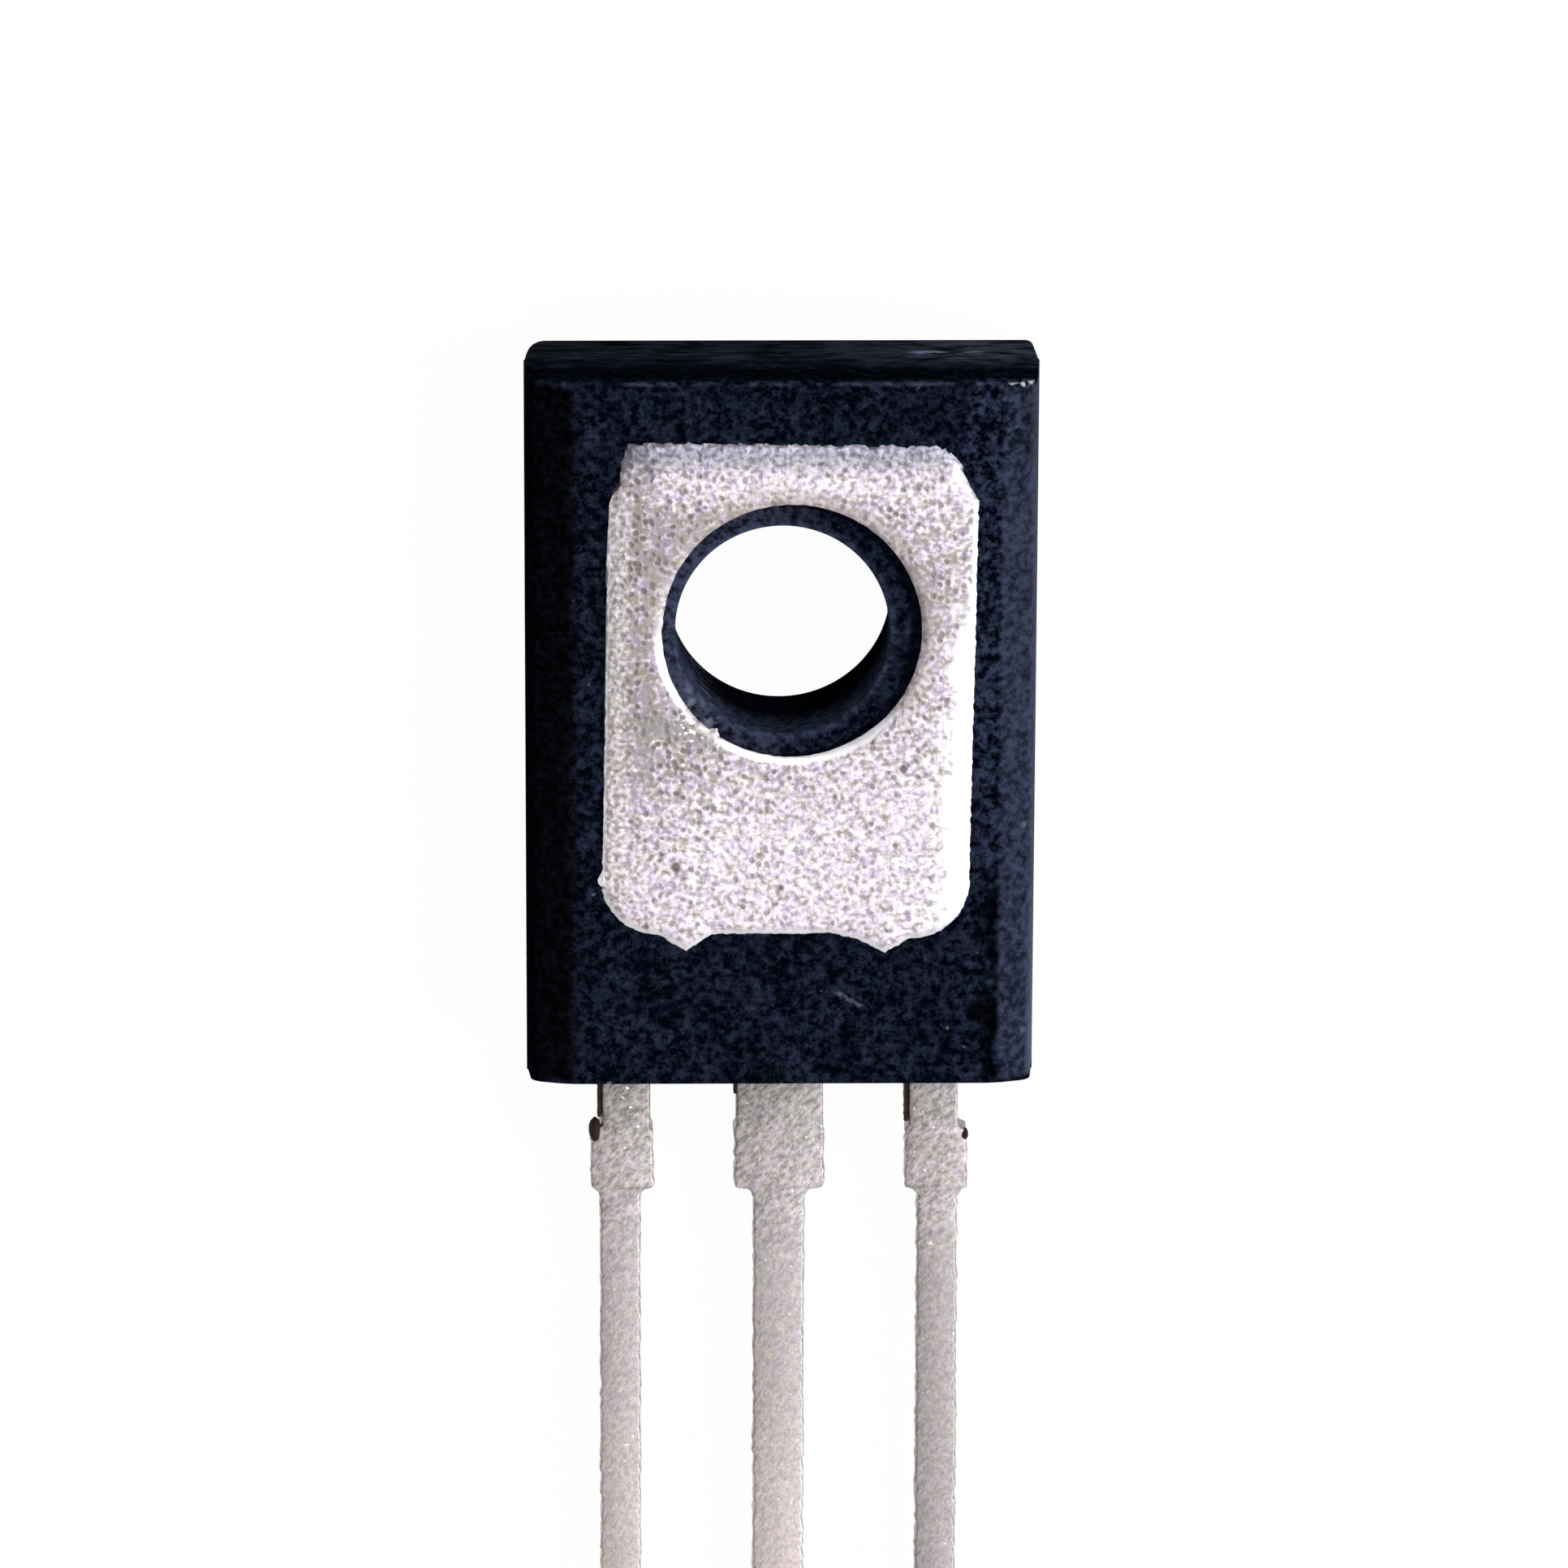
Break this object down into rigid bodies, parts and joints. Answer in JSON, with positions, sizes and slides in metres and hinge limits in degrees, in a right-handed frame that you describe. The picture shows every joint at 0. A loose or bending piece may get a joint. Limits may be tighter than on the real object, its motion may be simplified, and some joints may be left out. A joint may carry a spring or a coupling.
{
  "type": "silicon controlled rectifier",
  "caption": "Flat black moulded power thyristor with an exposed metal mounting tab, a screw hole through the body and flat stamped leads in a row at one end, used to switch current.",
  "frame": {"origin": "on the screw hole's axis, in the plane of the metal face", "axes": "+Z out of the metal face along the screw hole, +Y along the body to its plain end, so the leads run along -Y; the part lies on its plain face"},
  "size_m": [0.0076, 0.0264, 0.0025],
  "materials": {
    "epoxy_moulding": "fine matt moulded grain",
    "tinned_copper": "matt grained tin plating",
    "silicon": "polished",
    "solder": "dull",
    "bond_aluminium": "drawn wire"
  },
  "bodies": {
    "root": {"moulded_body": "epoxy_moulding", "anode_frame": "tinned_copper", "gate_lead": "tinned_copper", "cathode_lead": "tinned_copper", "silicon_die": "silicon", "die_solder": "solder", "cathode_wire": "bond_aluminium", "gate_wire": "bond_aluminium"}
  },
  "joints": []
}
